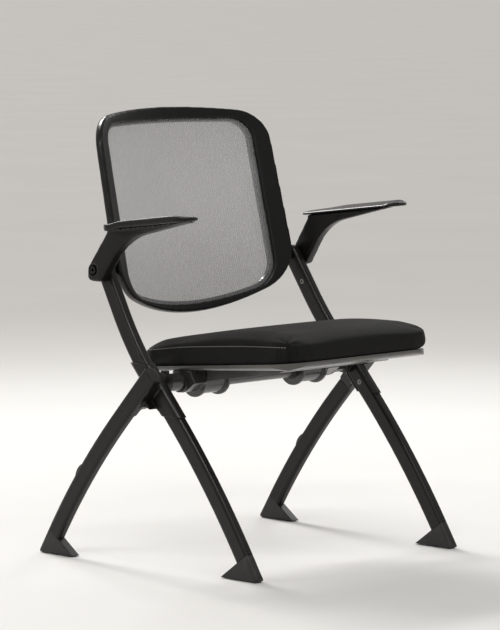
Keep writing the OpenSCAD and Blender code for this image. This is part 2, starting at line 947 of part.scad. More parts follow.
module arm_support() {
    difference() {
        union() {
            in_arm()
                side_extrude(arm_face, arm_face + arm_t)
                    arm_outline();
            intersection() {
                in_arm()
                    side_extrude(arm_face, arm_face + 2 * arm_t)
                        arm_outline();
                in_pad()
                    translate([0, -pad_start, 0])
                        rotate([90, 0, 0])
                            linear_extrude(pad_front)
                                translate([cove_x, 0])
                                    fillet([0, 0], [1, 0], [0, -1], cove_r);
            }
        }
        in_pad()
            translate([0, -reach, -seat_gap])
                cube([reach, 2 * reach, tube_d]);
        at_pivot()
            rod(tube_d / 2 + seat_gap, 0, tube_w / 2 + seat_gap);
        at_pivot()
            rod(bolt_r + seat_gap, 0, 2 * arm_t);
        translate([0, pivot_y, pivot_z])
            rod(recess_r, bolt_seat, bolt_seat + 2 * recess_d);
        pad_screw_place()
            screw_hole(pad_screw_head_r, pad_screw_r, pad_screw_len);
    }
}

module pad_outline() {
    back = -pad_start - pad_rear_r;
    front = pad_tip_r - pad_front;
    translate([pad_in, front])
        square([pad_w, back - front]);
    translate([pad_in + pad_tip_r, -pad_front])
        square([pad_w - 2 * pad_tip_r, pad_front - pad_start - pad_rear_r]);
    translate([pad_in + pad_rear_r, front])
        square([pad_w - 2 * pad_rear_r, -pad_start - front]);
    for (x = [pad_in + pad_tip_r, pad_in + pad_w - pad_tip_r])
        translate([x, front])
            circle(pad_tip_r, $fn = smooth);
    for (x = [pad_in + pad_rear_r, pad_in + pad_w - pad_rear_r])
        translate([x, back])
            circle(pad_rear_r, $fn = smooth);
}

module arm_pad() {
    difference() {
        in_pad()
            linear_extrude(pad_t)
                pad_outline();
        pad_screw_place()
            screw_hole(pad_screw_head_r, pad_screw_r, pad_screw_len);
    }
}

module arm_pad_screws() {
    color("silver")
        both()
            pad_screw_place()
                screw(pad_screw_head_r, pad_screw_r, pad_screw_len, pad_socket);
}

module pivot_bolts() {
    color("silver")
        both()
            translate([0, pivot_y, pivot_z])
                difference() {
                    union() {
                        rod(bolt_r, lug_in + 2 * tube_wall, bolt_seat + bolt_head_h);
                        rod(bolt_head_r, bolt_seat + seat_gap, bolt_seat + bolt_head_h);
                    }
                    translate([bolt_seat + seat_gap, 0, 0])
                        rotate([0, 90, 0])
                            cylinder(d = big_socket / cos(30), h = recess_d, $fn = 6);
                }
}

// Seat

module seat_plan(inset) {
    translate([0, seat_mid_y])
        rounded(seat_w - 2 * inset, seat_front + seat_rear - 2 * inset, seat_corner - inset);
}

// Everything under the shell's flat rear and its deeper front
module under_shell() {
    translate([-reach / 2, -flange_r, shell_low - reach])
        cube([reach, reach, reach]);
    translate([0, -flange_r, shell_low])
        rotate([rim_angle, 0, 0])
            translate([-reach / 2, -reach, -reach])
                cube([reach, reach + over, reach]);
}

// Section through the shell from edge to edge, curved up to a thin lip at both
module shell_section(from, to) {
    low = rim_front + over - lip_t;
    rise = [for (k = [0 : edge_steps])
        [edge_in * (1 - cos(90 * k / edge_steps)), seat_lift - lip_t - low * sin(90 * k / edge_steps)]];
    last = edge_steps;
    polygon(concat(
        [[from, seat_lift]],
        [for (k = [0 : last]) [from + rise[k][0], rise[k][1]]],
        [for (k = [0 : last]) [to - rise[last - k][0], rise[last - k][1]]],
        [[to, seat_lift]]
    ));
}

module tray() {
    half = seat_w / 2 - tray_inset;
    difference() {
        intersection() {
            translate([0, 0, seat_lift - rim_front - over])
                linear_extrude(rim_front + over - soft_gap)
                    seat_plan(tray_inset);
            side_extrude(-reach / 2, reach / 2)
                shell_section(tray_inset - seat_front, seat_rear - tray_inset);
            translate([0, reach, 0])
                rotate([90, 0, 0])
                    linear_extrude(2 * reach)
                        shell_section(-half, half);
        }
        under_shell();
        translate([0, 0, shell_low + shell_wall])
            linear_extrude(rim_front)
                seat_plan(pocket_inset);
    }
}

module belly() {
    slope = tan(belly_slope);
    rise = shell_low + over;
    corner = belly_front - rise;
    intersection() {
        side_extrude(-belly_w, belly_w)
            polygon([
                [0, rise], [-belly_front, rise], [-corner, corner * slope - belly_low],
                [0, -belly_low]
            ]);
        translate([0, 0, -reach / 2])
            linear_extrude(reach)
                translate([0, -belly_front / 2 + belly_corner])
                    rounded(2 * belly_w, belly_front + 2 * belly_corner, belly_corner);
    }
}

module seat_shell() {
    color("dimgray")
        in_seat()
            difference() {
                union() {
                    tray();
                    belly();
                }
                rod(cross_r + clear, -belly_w - over, belly_w + over);
                both()
                    rod(flange_r + seat_gap, saddle_in - seat_gap, waist_out + seat_gap);
                both()
                    translate([saddle_in - seat_gap, -flange_r - seat_gap, -flange_r])
                        cube([waist_out - saddle_in, 2 * flange_r, flange_r + shell_low]);
            }
}

module seat_board() {
    color("burlywood")
        in_seat()
            translate([0, 0, board_low])
                linear_extrude(board_high - board_low)
                    seat_plan(pocket_inset + seat_gap);
}

module hinge_saddle() {
    nose = [-nose_reach, -belly_low];
    dip = 180 + atan2(belly_low, nose_reach) + acos(barrel_r / norm(nose));
    in_seat()
        difference() {
            union() {
                rod(flange_r, saddle_in, saddle_in + flange_t);
                rod(waist_r, saddle_in, waist_out);
                rod(flange_r, waist_out - flange_t, waist_out);
                rod(barrel_r, waist_out - over, saddle_out);
                side_extrude(saddle_in, waist_out)
                    translate([-waist_r, 0])
                        square([2 * waist_r, waist_r]);
                side_extrude(waist_out - over, saddle_out)
                    polygon([
                        [0, 0], [barrel_r, 0], [barrel_r, waist_r], [-barrel_r, waist_r],
                        nose, barrel_r * [cos(dip), sin(dip)]
                    ]);
            }
            rod(bore_r, saddle_in - over, saddle_out + over);
            translate([0, -reach / 2, saddle_top])
                cube([saddle_out + over, reach, reach]);
        }
}

module hinge_bushes() {
    color("black")
        both()
            in_seat()
                difference() {
                    union() {
                        rod(bush_r, saddle_in, saddle_out + ring_w);
                        rod(barrel_r - over, saddle_out + seat_gap, saddle_out + ring_w);
                    }
                    rod(cross_r + run, saddle_in - over, saddle_out + ring_w + over);
                }
}

// Cushion: rings of one outline, drawn in and raised level by level

// Steps round each corner and along each side
corner_steps = 8;
side_steps = 6;

function seat_corner_middle(i) = [
    (i == 0 || i == 3 ? 1 : -1) * (seat_w / 2 - seat_corner),
    (i < 2 ? seat_rear - seat_corner : seat_corner - seat_front)
];
function seat_corner_point(i, angle) =
    seat_corner_middle(i) + seat_corner * [cos(angle), sin(angle)];

// One outline, corner by corner, with points along each straight side
outline = [
    for (i = [0 : 3]) each concat(
        [for (j = [0 : corner_steps]) seat_corner_point(i, 90 * (i + j / corner_steps))],
        [for (j = [1 : side_steps - 1])
            seat_corner_point(i, 90 * (i + 1)) * (1 - j / side_steps)
            + seat_corner_point((i + 1) % 4, 90 * (i + 1)) * j / side_steps]
    )
];

// Height of the seam over the cushion's underside
function rear_share(y) = max(0, (y - crest_y) / (seat_rear - crest_y));
function front_share(y) = max(0, (crest_y - y) / (seat_front + crest_y));
function waterfall_share(x) = 3 / 2 - pow(x / (seat_w / 2), 2);
function seam_height(p) = side_h - rear_drop * pow(rear_share(p[1]), 2)
    - front_drop * waterfall_share(p[0]) * pow(front_share(p[1]), 2);

// Each level has its inset from the outline, and its shares of side and crown height
seam_in = 1.2;
side_levels = [
    [2 * side_draw, 0], [side_draw / 3, 1 / 10], [side_draw, 1 / 2], [0, 9 / 10], [seam_in, 1]
];
crown_insets = [0.015, 0.04, 0.09, 0.16, 0.26, 0.4, 0.58, 0.8];
// Powers by which the crown falls off towards the sides, and its edge towards the seam
crown_power = 2.5;
crown_edge = 12;

function ring_point(p, inset) = [p[0] * (1 - inset), seat_mid_y + (p[1] - seat_mid_y) * (1 - inset)];
function side_ring(level) = [
    for (p = outline)
        let (q = ring_point(p, level[0] / (seat_w / 2)))
            [q[0], q[1], seam_height(q) * level[1]]
];
function crown_rise(p) = crown_h
    * (1 - pow(abs(p[0]) / (seat_w / 2), crown_power))
    * (1 - pow(abs(p[1] - seat_mid_y) / (seat_front + seat_mid_y), crown_power));
function crown_ring(share) = [
    for (p = outline)
        let (q = ring_point(p, share))
            [q[0], q[1], seam_height(q) + crown_rise(q) * (1 - pow(1 - share, crown_edge))]
];

module seat_cushion() {
    rings = concat([for (l = side_levels) side_ring(l)], [for (s = crown_insets) crown_ring(s)]);
    count = len(outline);
    middle = [0, seat_mid_y, seam_height([0, seat_mid_y]) + crown_h];
    points = concat([for (r = rings) each r], [middle]);
    last = (len(rings) - 1) * count;
    color("black")
        in_seat()
            translate([0, 0, seat_lift])
                polyhedron(points, concat(
                    [[for (i = [0 : count - 1]) i]],
                    [for (k = [0 : len(rings) - 2], i = [0 : count - 1])
                        let (a = k * count + i, b = k * count + (i + 1) % count)
                            each [[b, a, a + count], [b, a + count, b + count]]],
                    [for (i = [0 : count - 1])
                        [last + (i + 1) % count, last + i, len(points) - 1]]
                ));
}

// Back, drawn flat and wrapped on a wide cylinder

function crown_radius(e) = (e[0] * e[0] + e[3] * e[3]) / 2 / e[3];
function flip(p) = [-p[0], p[1]];
function grown(e, by, sign) = [e[0] + by, e[1] + sign * by, e[2] + by, e[3]];

// Centre of a corner that touches the side line and the crowned edge inside
function touching(start, dir, middle, distance, sign) =
    let (b = (start - middle) * dir, c = pow(norm(start - middle), 2) - pow(distance, 2))
        start + dir * (sign * sqrt(b * b - c) - b);

function heading(v) = atan2(v[1], v[0]);
function arc(middle, r, from, to, steps) = [
    for (i = [0 : steps - 1])
        let (a = from + (to - from) * i / steps)
            middle + r * [cos(a), sin(a)]
];

arc_steps = 12;

module curved_outline(low, top) {
    side = [top[0] - low[0], top[1] - low[1]];
    dir = side / norm(side);
    out = [dir[1], -dir[0]];
    top_mid = [0, top[1] - crown_radius(top)];
    low_mid = [0, low[1] + crown_radius(low)];
    start = [low[0], low[1]];
    top_c = touching(start - top[2] * out, dir, top_mid, crown_radius(top) - top[2], 1);
    low_c = touching(start - low[2] * out, dir, low_mid, crown_radius(low) - low[2], -1);
    low_turn = heading(low_c - low_mid);
    top_turn = heading(top_c - top_mid);
    right_side = concat(
        arc(low_mid, crown_radius(low), -90, low_turn, arc_steps),
        arc(low_c, low[2], low_turn, heading(out), arc_steps),
        arc(top_c, top[2], heading(out), top_turn, arc_steps),
        arc(top_mid, crown_radius(top), top_turn, 90, arc_steps)
    );
    count = len(right_side);
    polygon(concat(
        right_side,
        [[0, top[1]]],
        [for (i = [count - 1 : -1 : 1]) flip(right_side[i])]
    ));
}

// The part of an outline that lies between two radii of the curved back
module wrapped(from, to) {
    intersection() {
        translate([0, -back_r, -reach])
            difference() {
                cylinder(r = to, h = 2 * reach, $fn = 4 * smooth);
                cylinder(r = from, h = 2 * reach, $fn = 4 * smooth);
            }
        translate([0, 2 * back_t, 0])
            rotate([90, 0, 0])
                linear_extrude(8 * back_t)
                    children();
    }
}

module carrier_outline(grow) {
    curved_outline(grown(open_low, grow, -1), grown(open_top, grow, 1));
}

module back_frame() {
    color("dimgray")
        in_back()
            difference() {
                union() {
                    wrapped(back_r, back_r + back_t)
                        curved_outline(outer_low, outer_top);
                    difference() {
                        both()
                            translate([0, lug_y, lug_z])
                                rod(lug_r, lug_in, lug_out);
                        translate([0, -back_r, -reach / 2])
                            cylinder(r = back_r, h = reach, $fn = 4 * smooth);
                    }
                }
                wrapped(back_r - over, back_r + back_t + over)
                    carrier_outline(0);
                wrapped(back_r + face_t, back_r + back_t + over)
                    carrier_outline(carrier_lap + seat_gap);
                both()
                    translate([0, lug_y, lug_z])
                        rod(pivot_bush_r + seat_gap, lug_in + tube_wall, reach / 2);
            }
}

module mesh_carrier() {
    color("gray")
        in_back()
            difference() {
                wrapped(carrier_front, carrier_front + carrier_t)
                    carrier_outline(carrier_lap);
                wrapped(carrier_front - over, carrier_front + carrier_t + over)
                    carrier_outline(-carrier_show);
            }
}

module back_mesh() {
    color("lightgray")
        in_back()
            wrapped(mesh_front, mesh_front + mesh_t)
                carrier_outline(carrier_lap);
}

module pivot_bushes() {
    color("black")
        both()
            translate([0, pivot_y, pivot_z])
                difference() {
                    union() {
                        rod(pivot_bush_r, lug_in + tube_wall + seat_gap, lug_out + over);
                        rod(bush_flange_r, lug_out + seat_gap, lug_out + 2 * over);
                    }
                    rod(bolt_r + run, lug_in, lug_out + 3 * over);
                }
}

// Left is +X, right is its mirror image

module upright_left() { color("dimgray") upright(); }
module upright_right() { color("dimgray") right() upright(); }
module front_leg_left() { color("dimgray") front_leg(); }
module front_leg_right() { color("dimgray") right() front_leg(); }
module hub_casting_left() { color("gray") hub_casting(); }
module hub_casting_right() { color("gray") right() hub_casting(); }
module rear_leg_left() { color("dimgray") rear_leg(); }
module rear_leg_right() { color("dimgray") right() rear_leg(); }
module front_foot_left() { color("darkslategray") front_foot(); }
module front_foot_right() { color("darkslategray") right() front_foot(); }
module rear_foot_left() { color("darkslategray") rear_foot(); }
module rear_foot_right() { color("darkslategray") right() rear_foot(); }
module pivot_head_left() { color("gray") pivot_head(); }
module pivot_head_right() { color("gray") right() pivot_head(); }
module arm_support_left() { color("dimgray") arm_support(); }
module arm_support_right() { color("dimgray") right() arm_support(); }
module arm_pad_left() { color("slategray") arm_pad(); }
module arm_pad_right() { color("slategray") right() arm_pad(); }
module hinge_saddle_left() { color("gray") hinge_saddle(); }
module hinge_saddle_right() { color("gray") right() hinge_saddle(); }

upright_left();
upright_right();
front_leg_left();
front_leg_right();
hub_casting_left();
hub_casting_right();
rear_leg_left();
rear_leg_right();
front_foot_left();
front_foot_right();
rear_foot_left();
rear_foot_right();
foot_glides();
nesting_bumpers();
cross_tube();
stop_blocks();
hub_screws();
pivot_head_left();
pivot_head_right();
head_screws();
arm_support_left();
arm_support_right();
arm_pad_left();
arm_pad_right();
arm_pad_screws();
pivot_bolts();
seat_shell();
seat_board();
seat_cushion();
hinge_saddle_left();
hinge_saddle_right();
hinge_bushes();
back_frame();
mesh_carrier();
back_mesh();
pivot_bushes();
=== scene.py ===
import bpy, bmesh, math
from mathutils import Matrix, Vector
from mathutils.bvhtree import BVHTree
from mathutils.kdtree import KDTree


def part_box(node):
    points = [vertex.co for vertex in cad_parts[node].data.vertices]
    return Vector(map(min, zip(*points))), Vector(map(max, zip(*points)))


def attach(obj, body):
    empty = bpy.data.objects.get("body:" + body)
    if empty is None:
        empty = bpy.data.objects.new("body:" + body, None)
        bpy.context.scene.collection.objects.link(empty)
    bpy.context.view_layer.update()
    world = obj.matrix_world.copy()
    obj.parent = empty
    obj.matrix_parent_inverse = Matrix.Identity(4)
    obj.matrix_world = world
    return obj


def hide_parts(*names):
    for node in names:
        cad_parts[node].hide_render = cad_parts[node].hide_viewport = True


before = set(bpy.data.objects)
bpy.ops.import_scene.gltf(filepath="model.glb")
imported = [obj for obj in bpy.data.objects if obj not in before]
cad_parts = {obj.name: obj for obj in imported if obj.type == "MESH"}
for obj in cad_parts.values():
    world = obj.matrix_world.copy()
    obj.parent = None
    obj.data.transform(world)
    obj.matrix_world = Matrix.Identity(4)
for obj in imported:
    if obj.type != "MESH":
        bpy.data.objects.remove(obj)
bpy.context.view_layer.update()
scene = bpy.context.scene
SIDES = ("left", "right")

# Places and sizes that repeat the frame's own, in metres
HUB = Vector((0.0, 0.004, 0.345))
PIVOT = Vector((0.0, 0.151104, 0.553))
SEAT_TILT = math.radians(5.0)
SEAT_LIFT = 0.0296
SEAT_HALF = 0.206
SEAT_FRONT = 0.288
SEAT_REAR = 0.132
SEAT_CORNER = 0.057
SEAT_MIDDLE = (SEAT_REAR - SEAT_FRONT) / 2
SEAT_HALF_DEPTH = (SEAT_FRONT + SEAT_REAR) / 2
BACK_LEAN = math.radians(12.7)
BACK_BEHIND = 0.040
BACK_RADIUS = 0.502
MESH_SET_BACK = 0.0075

# The cushion's own axes: x across, y to the rear, z up from the board
TO_SEAT = (Matrix.Translation(HUB) @ Matrix.Rotation(-SEAT_TILT, 4, "X")
           @ Matrix.Translation((0.0, 0.0, SEAT_LIFT)))
FROM_SEAT = TO_SEAT.inverted()


# Camera, at the photograph's viewing angle

def set_camera():
    lens = bpy.data.cameras.new("camera")
    lens.sensor_fit = "HORIZONTAL"
    lens.sensor_width = 36.0
    lens.lens = 261.3
    lens.clip_end = 500.0
    holder = bpy.data.objects.new("camera", lens)
    holder.location = (-5.004, -4.839, 1.142)
    look_down = 5.62
    look_round = -45.85
    holder.rotation_euler = (math.radians(90.0 - look_down), 0.0, math.radians(look_round))
    scene.collection.objects.link(holder)
    scene.camera = holder


set_camera()


# Small tools for material nodes

SURFACE = [("Colour", "NodeSocketColor"), ("Roughness", "NodeSocketFloat"),
           ("Height", "NodeSocketFloat")]


def new_group(name, inputs):
    """A node group with these inputs, which puts out a colour, a roughness and a height."""
    tree = bpy.data.node_groups.new(name, "ShaderNodeTree")
    for label, kind, value in inputs:
        socket = tree.interface.new_socket(name=label, in_out="INPUT", socket_type=kind)
        socket.default_value = value
    for label, kind in SURFACE:
        tree.interface.new_socket(name=label, in_out="OUTPUT", socket_type=kind)
    given = tree.nodes.new("NodeGroupInput").outputs
    out = tree.nodes.new("NodeGroupOutput").inputs
    return tree, given, out


def wire(tree, value, socket):
    """Links a socket, or sets it where the value is a plain number or colour."""
    if hasattr(value, "is_linked"):
        tree.links.new(value, socket)
    else:
        socket.default_value = value


def math_node(tree, kind, a, b=0.0, clamp=False):
    node = tree.nodes.new("ShaderNodeMath")
    node.operation = kind
    node.use_clamp = clamp
    wire(tree, a, node.inputs[0])
    wire(tree, b, node.inputs[1])
    return node.outputs[0]


def add(tree, a, b, clamp=False):
    return math_node(tree, "ADD", a, b, clamp)


def times(tree, a, b, clamp=False):
    return math_node(tree, "MULTIPLY", a, b, clamp)


def about_middle(tree, value, amount):
    """A noise as a swing to both sides of nought."""
    return times(tree, math_node(tree, "SUBTRACT", value, 0.5), amount)


def wave(tree, value, rate):
    return math_node(tree, "SINE", times(tree, value, rate))


def noise_node(tree, where, scale, detail, rough=0.55, stretch=None):
    if stretch:
        spread = tree.nodes.new("ShaderNodeMapping")
        spread.inputs["Scale"].default_value = stretch
        tree.links.new(where, spread.inputs["Vector"])
        where = spread.outputs["Vector"]
    node = tree.nodes.new("ShaderNodeTexNoise")
    tree.links.new(where, node.inputs["Vector"])
    wire(tree, scale, node.inputs["Scale"])
    node.inputs["Detail"].default_value = detail
    node.inputs["Roughness"].default_value = rough
    return node.outputs["Fac"]


def place_node(tree):
    return tree.nodes.new("ShaderNodeTexCoord").outputs["Object"]


def axes(tree, where):
    split = tree.nodes.new("ShaderNodeSeparateXYZ")
    tree.links.new(where, split.inputs[0])
    return split.outputs


def blend_colour(tree, kind, amount, a, b):
    node = tree.nodes.new("ShaderNodeMix")
    node.data_type = "RGBA"
    node.blend_type = kind
    # Sockets 0, 6 and 7 and output 2 are the ones that the node uses for colours
    wire(tree, amount, node.inputs[0])
    wire(tree, a, node.inputs[6])
    wire(tree, b, node.inputs[7])
    return node.outputs[2]


# Effects that several finishes share

RUB_FROM = 0.52       # noise level above which the coat is rubbed
RUB_EDGE = 4.0        # how sharply a rubbed patch begins
RUB_DULLS = 0.2
MOTTLE_LOW = 0.83     # darkest shade of the slow mottling
MOTTLE_SPAN = 0.34
MOTTLE_DULLS = 0.10
HAIR_DULLS = 0.05


def build_grain():
    """Fine grain, slow mottling and rubbed patches of a moulded or coated surface."""
    tree, given, out = new_group("surface_grain", [
        ("Colour", "NodeSocketColor", (0.05, 0.05, 0.05, 1.0)),
        ("Worn Colour", "NodeSocketColor", (0.09, 0.085, 0.08, 1.0)),
        ("Grain Scale", "NodeSocketFloat", 900.0),
        ("Grain Depth", "NodeSocketFloat", 0.5),
        ("Base Roughness", "NodeSocketFloat", 0.4),
        ("Wear", "NodeSocketFloat", 0.2)])
    where = place_node(tree)
    grain = noise_node(tree, where, scale=given["Grain Scale"], detail=2.0)
    mottle = noise_node(tree, where, scale=9.0, detail=4.0)
    handled = noise_node(tree, where, scale=34.0, detail=5.0, rough=0.65)
    hair = noise_node(tree, where, scale=60.0, detail=3.0, rough=0.7, stretch=(1.0, 1.0, 9.0))

    patch = math_node(tree, "SUBTRACT", handled, RUB_FROM, True)
    patch = times(tree, times(tree, patch, RUB_EDGE, True), given["Wear"])
    tone = blend_colour(tree, "MIX", patch, given["Colour"], given["Worn Colour"])
    shade = add(tree, times(tree, mottle, MOTTLE_SPAN), MOTTLE_LOW)
    grey = tree.nodes.new("ShaderNodeCombineColor")
    for channel in range(3):
        tree.links.new(shade, grey.inputs[channel])
    shaded = blend_colour(tree, "MULTIPLY", 1.0, tone, grey.outputs[0])
    tree.links.new(shaded, out["Colour"])

    rough = add(tree, given["Base Roughness"], about_middle(tree, mottle, MOTTLE_DULLS))
    rough = add(tree, rough, about_middle(tree, hair, HAIR_DULLS))
    rough = add(tree, rough, times(tree, patch, RUB_DULLS), True)
    tree.links.new(rough, out["Roughness"])
    tree.links.new(times(tree, grain, given["Grain Depth"]), out["Height"])
    return tree


CLOTH_ROUGH = 0.82
SOIL_DULLS = 0.12
SOIL_LIGHT = 0.4
THREAD_HEIGHT = 0.8
LINT_HEIGHT = 0.35
SLUB_HEIGHT = 0.4


def build_weave():
    """Plain woven cloth with slubs and a little lint."""
    tree, given, out = new_group("cloth_weave", [
        ("Colour", "NodeSocketColor", (0.02, 0.02, 0.02, 1.0)),
        ("Light Thread", "NodeSocketColor", (0.06, 0.058, 0.056, 1.0)),
        ("Threads", "NodeSocketFloat", 2600.0)])
    where = place_node(tree)
    x, y, z = axes(tree, where)
    warp = wave(tree, add(tree, x, z), given["Threads"])
    weft = wave(tree, math_node(tree, "SUBTRACT", y, z), given["Threads"])
    threads = add(tree, times(tree, times(tree, warp, weft), 0.5), 0.5)
    slub = noise_node(tree, where, scale=260.0, detail=4.0, rough=0.7, stretch=(1.0, 0.25, 1.0))
    lint = noise_node(tree, where, scale=1400.0, detail=2.0, rough=0.6)
    soil = noise_node(tree, where, scale=7.0, detail=4.0, rough=0.6)

    light = times(tree, times(tree, threads, slub), add(tree, soil, SOIL_LIGHT))
    cloth = blend_colour(tree, "MIX", light, given["Colour"], given["Light Thread"])
    tree.links.new(cloth, out["Colour"])
    tree.links.new(add(tree, times(tree, soil, SOIL_DULLS), CLOTH_ROUGH), out["Roughness"])
    height = add(tree, times(tree, threads, THREAD_HEIGHT), times(tree, lint, LINT_HEIGHT))
    tree.links.new(add(tree, height, times(tree, slub, SLUB_HEIGHT)), out["Height"])
    return tree


GRAIN = build_grain()
WEAVE = build_weave()


# Finishes

def new_finish(name):
    finish = bpy.data.materials.new(name)
    finish.use_nodes = True
    tree = finish.node_tree
    return finish, tree, tree.nodes["Principled BSDF"]


def set_shader(shader, values):
    for label, value in values.items():
        shader.inputs[label].default_value = value


def bump(tree, shader, height, strength, distance):
    node = tree.nodes.new("ShaderNodeBump")
    node.inputs["Strength"].default_value = strength
    node.inputs["Distance"].default_value = distance
    tree.links.new(height, node.inputs["Height"])
    tree.links.new(node.outputs["Normal"], shader.inputs["Normal"])


def use_effect(tree, shader, effect, values, strength, distance):
    """Places a shared effect in a material and feeds the shader from it."""
    node = tree.nodes.new("ShaderNodeGroup")
    node.node_tree = effect
    for label, value in values.items():
        node.inputs[label].default_value = value
    tree.links.new(node.outputs["Colour"], shader.inputs["Base Color"])
    tree.links.new(node.outputs["Roughness"], shader.inputs["Roughness"])
    bump(tree, shader, node.outputs["Height"], strength, distance)


def coated(name, colour, worn, rough, grain, depth, wear, metallic=0.0, coat=0.0, specular=0.5):
    """A moulded, painted or plated finish. The grain is counted by the metre."""
    finish, tree, shader = new_finish(name)
    use_effect(tree, shader, GRAIN, {
        "Colour": (*colour, 1.0), "Worn Colour": (*worn, 1.0), "Grain Scale": grain,
        "Grain Depth": depth, "Base Roughness": rough, "Wear": wear},
        strength=0.2, distance=0.00012)
    set_shader(shader, {"Metallic": metallic, "Coat Weight": coat, "Coat Roughness": 0.25,
                        "Specular IOR Level": specular})
    return finish


POWDER = coated(
    "powder_coat", colour=(0.0085, 0.0076, 0.0068), worn=(0.024, 0.021, 0.018),
    rough=0.30, grain=1500.0, depth=0.5, wear=0.35, coat=0.05, specular=0.27)
CASTING = coated(
    "cast_coat", colour=(0.0080, 0.0073, 0.0066), worn=(0.024, 0.021, 0.018),
    rough=0.32, grain=1100.0, depth=0.8, wear=0.35, coat=0.05, specular=0.27)
PLASTIC = coated(
    "frame_plastic", colour=(0.0050, 0.0048, 0.0047), worn=(0.012, 0.0115, 0.011),
    rough=0.30, grain=1300.0, depth=0.4, wear=0.3, specular=0.25)
ARM_PLASTIC = coated(
    "arm_plastic", colour=(0.0055, 0.0051, 0.0048), worn=(0.012, 0.0112, 0.0105),
    rough=0.35, grain=1500.0, depth=0.2, wear=0.3, specular=0.25)
FOOT_PLASTIC = coated(
    "foot_plastic", colour=(0.0075, 0.0070, 0.0065), worn=(0.050, 0.046, 0.040),
    rough=0.46, grain=1000.0, depth=0.9, wear=0.6)
# The shell's grey is lighter than its dark plastic would be: a painted reflection of the bright
# floor, over the real gloss of its coat
SHELL_PLASTIC_PAINTED_REFLECTION = coated(
    "shell_plastic", colour=(0.075, 0.071, 0.066), worn=(0.09, 0.086, 0.081),
    rough=0.28, grain=1300.0, depth=0.5, wear=0.15, coat=0.3)
CARRIER = coated(
    "carrier_plastic", colour=(0.016, 0.0155, 0.015), worn=(0.030, 0.029, 0.028),
    rough=0.20, grain=1300.0, depth=0.3, wear=0.3, coat=0.6)
SADDLE = coated(
    "saddle_coat", colour=(0.028, 0.026, 0.0235), worn=(0.050, 0.046, 0.042),
    rough=0.24, grain=1100.0, depth=0.6, wear=0.35, coat=0.5)
GLIDE = coated(
    "glide_plastic", colour=(0.10, 0.098, 0.092), worn=(0.22, 0.21, 0.19),
    rough=0.5, grain=900.0, depth=0.8, wear=0.9)
BUSH = coated(
    "bush_plastic", colour=(0.010, 0.010, 0.010), worn=(0.022, 0.022, 0.022),
    rough=0.42, grain=1400.0, depth=0.3, wear=0.2)
STEEL = coated(
    "plated_steel", colour=(0.20, 0.195, 0.185), worn=(0.13, 0.12, 0.11),
    rough=0.30, grain=1800.0, depth=0.2, wear=0.5, metallic=1.0)
BOLT = coated(
    "bolt_steel", colour=(0.035, 0.034, 0.033), worn=(0.06, 0.058, 0.055),
    rough=0.32, grain=1800.0, depth=0.2, wear=0.5, metallic=1.0)


def board_finish():
    finish, tree, shader = new_finish("plywood")
    rings = noise_node(tree, place_node(tree), scale=22.0, detail=6.0, rough=0.6,
                       stretch=(1.0, 0.12, 3.0))
    tones = tree.nodes.new("ShaderNodeValToRGB")
    tones.color_ramp.elements[0].color = (0.36, 0.25, 0.14, 1.0)
    tones.color_ramp.elements[1].color = (0.66, 0.52, 0.34, 1.0)
    tree.links.new(rings, tones.inputs["Fac"])
    tree.links.new(tones.outputs["Color"], shader.inputs["Base Color"])
    set_shader(shader, {"Roughness": 0.7})
    bump(tree, shader, rings, strength=0.2, distance=0.0003)
    return finish


def cloth_finish(name, colour, light, threads, sheen):
    finish, tree, shader = new_finish(name)
    use_effect(tree, shader, WEAVE, {
        "Colour": (*colour, 1.0), "Light Thread": (*light, 1.0), "Threads": threads},
        strength=0.5, distance=0.0004)
    set_shader(shader, {"Specular IOR Level": 0.16, "Sheen Weight": sheen,
                        "Sheen Roughness": 0.5, "Sheen Tint": (0.75, 0.72, 0.70, 1.0)})
    return finish


BOARD = board_finish()
UPHOLSTERY = cloth_finish(
    "upholstery", colour=(0.0045, 0.0044, 0.0044), light=(0.017, 0.0165, 0.016),
    threads=2600.0, sheen=0.05)
THREAD = cloth_finish(
    "stitch_thread", colour=(0.34, 0.33, 0.32), light=(0.50, 0.49, 0.47),
    threads=6000.0, sheen=0.1)

RIB_RATE = 1366.0     # a rib every 4.6 mm
RUNG_RATE = 1900.0    # a cross thread every 1.7 mm
RUNG_SHARE = 0.40
GAP_COVER = 0.30      # share of the light that the gaps hold back
THREAD_COVER = 0.12   # what threads, streaks and lint add to it
STREAK_COVER = 0.07
LINT_COVER = 0.02
STREAK_LIGHT = 0.35
CLOUD_LIGHT = 0.45


def mesh_finish():
    """Open knit mesh: upright ribs with fine cross threads, and gaps between them."""
    finish, tree, shader = new_finish("open_mesh")
    where = tree.nodes.new("ShaderNodeUVMap").outputs["UV"]
    x, y, _ = axes(tree, where)
    ribs = add(tree, times(tree, wave(tree, x, RIB_RATE), 0.5), 0.5)
    rungs = math_node(tree, "ABSOLUTE", wave(tree, y, RUNG_RATE))
    thread = math_node(tree, "MAXIMUM", ribs, times(tree, rungs, RUNG_SHARE))
    streak = noise_node(tree, where, scale=1.0, detail=3.0, rough=0.6, stretch=(420.0, 1.5, 1.0))
    cloud = noise_node(tree, where, scale=5.0, detail=3.0, rough=0.5)

    solid = add(tree, times(tree, thread, THREAD_COVER), GAP_COVER)
    solid = add(tree, solid, times(tree, streak, STREAK_COVER))
    tree.links.new(add(tree, solid, LINT_COVER, True), shader.inputs["Alpha"])
    light = add(tree, times(tree, streak, STREAK_LIGHT), times(tree, cloud, CLOUD_LIGHT))
    tone = blend_colour(tree, "MIX", light, (0.30, 0.30, 0.305, 1.0), (0.54, 0.54, 0.54, 1.0))
    tree.links.new(tone, shader.inputs["Base Color"])
    set_shader(shader, {"Roughness": 0.6, "Sheen Weight": 0.1})
    bump(tree, shader, thread, strength=0.06, distance=0.0002)
    return finish


OPEN_MESH = mesh_finish()


# Small tools for pieces

def limited(value, low=0.0, high=1.0):
    return max(low, min(high, value))


def ramp(value, low, high):
    """From 0 at low to 1 at high, with a soft start and end."""
    share = limited((value - low) / (high - low))
    return share * share * (3.0 - 2.0 * share)


